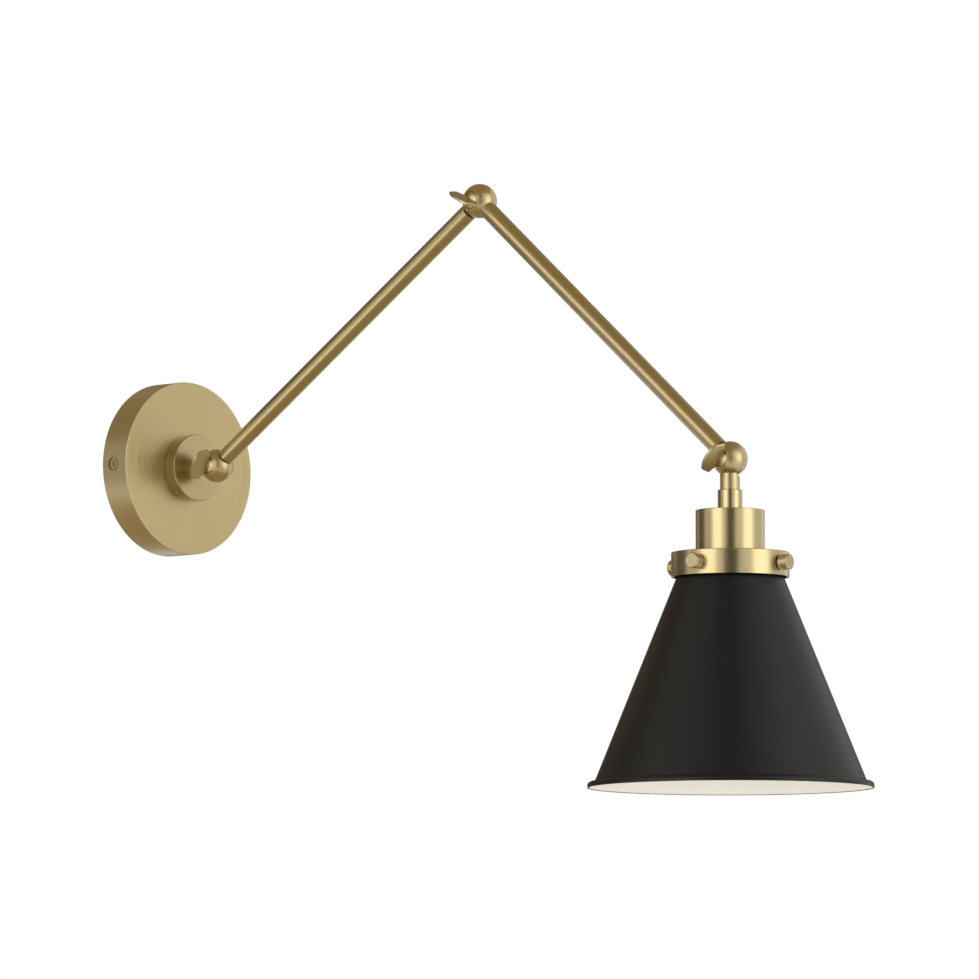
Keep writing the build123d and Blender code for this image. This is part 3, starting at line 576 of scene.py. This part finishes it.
# ---------------------------------------------------------------- lampholder
# A black moulded lampholder hangs in the cup. Its brass screw shell takes the bulb, with a contact
# at its top, and a plain moulded ring clamps the gallery up against the cup.
MOULDING = (0.018, 0.018, 0.019, 1.0)
MOULDING_WORN = (0.036, 0.035, 0.034, 1.0)
MOULDING_GRAIN_SCALE = 700.0
MOULDING_FLOW_SCALE = 60.0
SHELL_BRASS = (0.72, 0.56, 0.24, 1.0)
SHELL_STAIN = (0.52, 0.36, 0.14, 1.0)
TARNISH_SCALE = 140.0
SHELL_GRAIN_SCALE = 1500.0
SHELL_GRAIN_DEPTH = 0.00001

moulding = Finish("black_moulding")
moulding_spot = moulding.place(shade_centre, UPRIGHT)
moulding_grain = moulding.noise(moulding_spot, MOULDING_GRAIN_SCALE)
moulding_flow = moulding.noise(moulding_spot, MOULDING_FLOW_SCALE)
moulding.surface({
    "Base Color": moulding.mix(moulding_flow, MOULDING, MOULDING_WORN),
    "Roughness": 0.36 + moulding_grain * 0.12,
    "Normal": moulding.bump(moulding_grain, FLECK_DEPTH),
})
moulding.dress("lampholder", "lampholder_ring")

shell_finish = Finish("shell_brass")
shell_spot = shell_finish.place(shade_centre, UPRIGHT)
shell_tarnish = shell_finish.noise(shell_spot, TARNISH_SCALE, detail=4.0)
shell_grain = shell_finish.noise(shell_spot, SHELL_GRAIN_SCALE)
shell_finish.surface({
    "Base Color": shell_finish.mix(shell_tarnish, SHELL_STAIN, SHELL_BRASS),
    "Metallic": 1.0,
    "Roughness": 0.18 + shell_tarnish * 0.14,
    "Normal": shell_finish.bump(shell_grain, SHELL_GRAIN_DEPTH),
})
shell_finish.dress("terminal_screws", "centre_contact", "screw_shell")


# ---------------------------------------------------------------- shade
# The shade is spun from sheet steel: black powder coat outside and over the rolled rim, warm white
# enamel inside. The coat has a fine orange peel that breaks up its soft sheen.
COAT_BLACK = (0.0030, 0.0030, 0.0030, 1.0)
COAT_SOFT = (0.0048, 0.0048, 0.0047, 1.0)
ENAMEL_WHITE = (0.915, 0.875, 0.78, 1.0)
ENAMEL_SHADE = (0.90, 0.855, 0.755, 1.0)
COAT_ROUGHNESS = 0.40
ENAMEL_DULLER = 0.10
PEEL_SCALE = 900.0
PEEL_DEPTH = 0.000018
CLOUD_SCALE = 18.0
SHEET = 0.001
NECK_RADIUS = 0.037
CONE_TOP_DROP = 0.0815
CONE_FLARE = 0.0586
CONE_HEIGHT = 0.1457
CONE_SLOPE = CONE_FLARE / CONE_HEIGHT
CONE_SPLIT = SHEET * 0.55
FLANGE_DROP = 0.2272
FLANGE_SPLIT = SHEET * 0.5
RIM_RADIUS = 0.1007
RIM_ROLL = 0.0028
RIM_DEPTH = 0.0044
RIM_EDGE = 0.0004

# Enamel covers what lies within the wall's middle in the cone, and the inner side of the roll.
shade_coat = Finish("shade_coat")
shade_spot = shade_coat.place(shade_centre, UPRIGHT)
side, front, height = shade_coat.parts(shade_spot)
shade_radius = (side * side + front * front) ** 0.5
cone_radius = NECK_RADIUS + CONE_SLOPE * shade_coat.maths("MAXIMUM", -CONE_TOP_DROP - height, 0.0)
in_cone = (shade_radius < cone_radius - CONE_SPLIT) * (height > -(FLANGE_DROP + FLANGE_SPLIT))
roll_out = shade_coat.maths("MAXIMUM", shade_radius - (RIM_RADIUS - RIM_ROLL), 0.0)
roll_up = shade_coat.maths("MAXIMUM", height + (FLANGE_DROP + RIM_ROLL), 0.0)
in_roll = (roll_out * roll_out + roll_up * roll_up) ** 0.5 < RIM_ROLL - FLANGE_SPLIT
in_rim = in_roll * (height > RIM_EDGE - FLANGE_DROP - RIM_DEPTH)
inside = shade_coat.node("ShaderNodeClamp", {}, {0: in_cone + in_rim})
peel = shade_coat.noise(shade_spot, PEEL_SCALE, detail=2.0)
cloud = shade_coat.noise(shade_spot, CLOUD_SCALE)
black_coat = shade_coat.mix(cloud, COAT_BLACK, COAT_SOFT)
white_enamel = shade_coat.mix(cloud, ENAMEL_SHADE, ENAMEL_WHITE)
shade_coat.surface({
    "Base Color": shade_coat.mix(inside, black_coat, white_enamel),
    "Roughness": COAT_ROUGHNESS + peel * 0.06 + inside * ENAMEL_DULLER,
    "Specular IOR Level": 0.3,
    "Normal": shade_coat.bump(peel, PEEL_DEPTH),
})
shade_coat.dress("shade")
